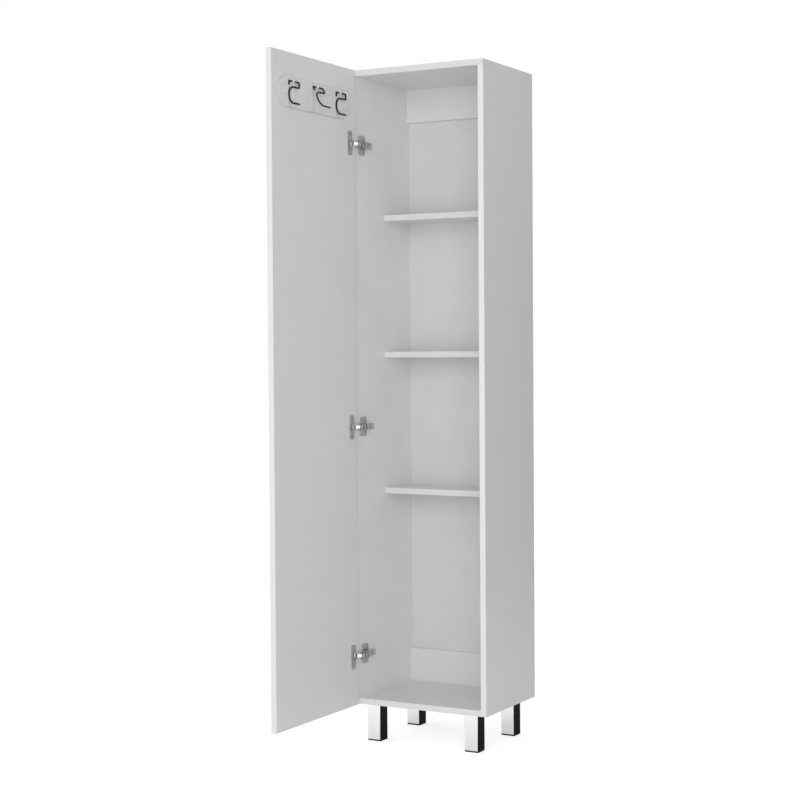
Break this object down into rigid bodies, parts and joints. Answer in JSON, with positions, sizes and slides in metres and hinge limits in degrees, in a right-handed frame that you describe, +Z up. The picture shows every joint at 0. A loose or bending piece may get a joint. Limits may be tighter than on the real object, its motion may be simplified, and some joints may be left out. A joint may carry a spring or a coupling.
{
  "type": "tall bathroom cabinet",
  "caption": "Tall narrow bathroom cabinet on chrome legs with an open hinged door, half-depth shelves and a rack of fold-out hooks inside the door.",
  "frame": {"origin": "middle of the outline at floor level, with the door open at a right angle", "axes": "+Z up, the cabinet opens towards -Y, the door is hinged on the -X side"},
  "size_m": [0.3966, 0.6698, 1.71],
  "materials": {
    "coated_board": "white melamine coating, satin",
    "back_board": "thin fibreboard, painted white",
    "beech": "turned beech, raw",
    "leg_chrome": "polished chrome plating",
    "foot_plastic": "moulded, fine matt",
    "rack_plastic": "moulded, satin gloss",
    "hook_coating": "black dip coating",
    "bumper_plastic": "soft clear-white",
    "handle_steel": "brushed",
    "hinge_nickel": "nickel plated pressed steel",
    "link_steel": "bright nickel plated",
    "cam_zinc": "die cast zinc",
    "screw_zinc": "zinc plated",
    "screw_white": "white lacquered"
  },
  "bodies": {
    "cabinet": {"side_left": "coated_board", "side_right": "coated_board", "top_panel": "coated_board", "bottom_panel": "coated_board", "shelf_upper": "coated_board", "shelf_middle": "coated_board", "shelf_lower": "coated_board", "rail_top": "coated_board", "rail_bottom": "coated_board", "back_panel": "back_board", "cam_nuts": "cam_zinc", "cam_bolts": "screw_zinc", "dowels": "beech", "back_nails": "screw_zinc", "leg_front_left": "leg_chrome", "leg_front_right": "leg_chrome", "leg_back_left": "leg_chrome", "leg_back_right": "leg_chrome", "foot_front_left": "foot_plastic", "foot_front_right": "foot_plastic", "foot_back_left": "foot_plastic", "foot_back_right": "foot_plastic", "leg_bolts": "screw_zinc", "plate_upper": "hinge_nickel", "plate_middle": "hinge_nickel", "plate_lower": "hinge_nickel", "arm_upper": "hinge_nickel", "arm_middle": "hinge_nickel", "arm_lower": "hinge_nickel", "plate_screws": "screw_zinc", "arm_screws": "screw_zinc", "arm_pins": "link_steel"},
    "inner_links": {"inner_link_upper": "link_steel", "inner_link_middle": "link_steel", "inner_link_lower": "link_steel"},
    "door": {"door_panel": "coated_board", "cup_upper": "hinge_nickel", "cup_middle": "hinge_nickel", "cup_lower": "hinge_nickel", "cup_pins": "link_steel", "cup_screws": "screw_zinc", "bumpers": "bumper_plastic", "rack_plate": "rack_plastic", "rack_clips": "rack_plastic", "rack_screws": "screw_white", "door_handle": "handle_steel", "handle_screws": "screw_zinc"},
    "outer_links": {"outer_link_upper": "link_steel", "outer_link_middle": "link_steel", "outer_link_lower": "link_steel"},
    "hook_left": {"hook_left": "hook_coating"},
    "hook_middle": {"hook_middle": "hook_coating"},
    "hook_right": {"hook_right": "hook_coating"}
  },
  "joints": [
    {"name": "hinge_inner_links", "type": "hinge", "parent": "cabinet", "child": "inner_links", "pos_m": [-0.14812, 0.04842, 0.85], "axis": [0, 0, 1], "range_deg": [-22, 2]},
    {"name": "door_swing", "type": "hinge", "parent": "inner_links", "child": "door", "pos_m": [-0.16878, 0.03428, 0.85], "axis": [0, 0, 1], "range_deg": [-3.68, 110.52]},
    {"name": "hinge_outer_links", "type": "hinge", "parent": "door", "child": "outer_links", "pos_m": [-0.16378, 0.03358, 0.85], "axis": [0, 0, 1], "range_deg": [-124, 6]},
    {"name": "hook_left_swing", "type": "hinge", "parent": "door", "child": "hook_left", "pos_m": [-0.15193, -0.25412, 1.6392], "axis": [0, -1, 0], "range_deg": [0, 90]},
    {"name": "hook_middle_swing", "type": "hinge", "parent": "door", "child": "hook_middle", "pos_m": [-0.15193, -0.14812, 1.6392], "axis": [0, -1, 0], "range_deg": [-23, 67]},
    {"name": "hook_right_swing", "type": "hinge", "parent": "door", "child": "hook_right", "pos_m": [-0.15193, -0.04212, 1.6392], "axis": [0, -1, 0], "range_deg": [0, 90]}
  ],
  "couplings": [
    {"joint": "hinge_inner_links", "follows": "door_swing", "ratio": -0.18567},
    {"joint": "hinge_outer_links", "follows": "door_swing", "ratio": -1.1107}
  ]
}
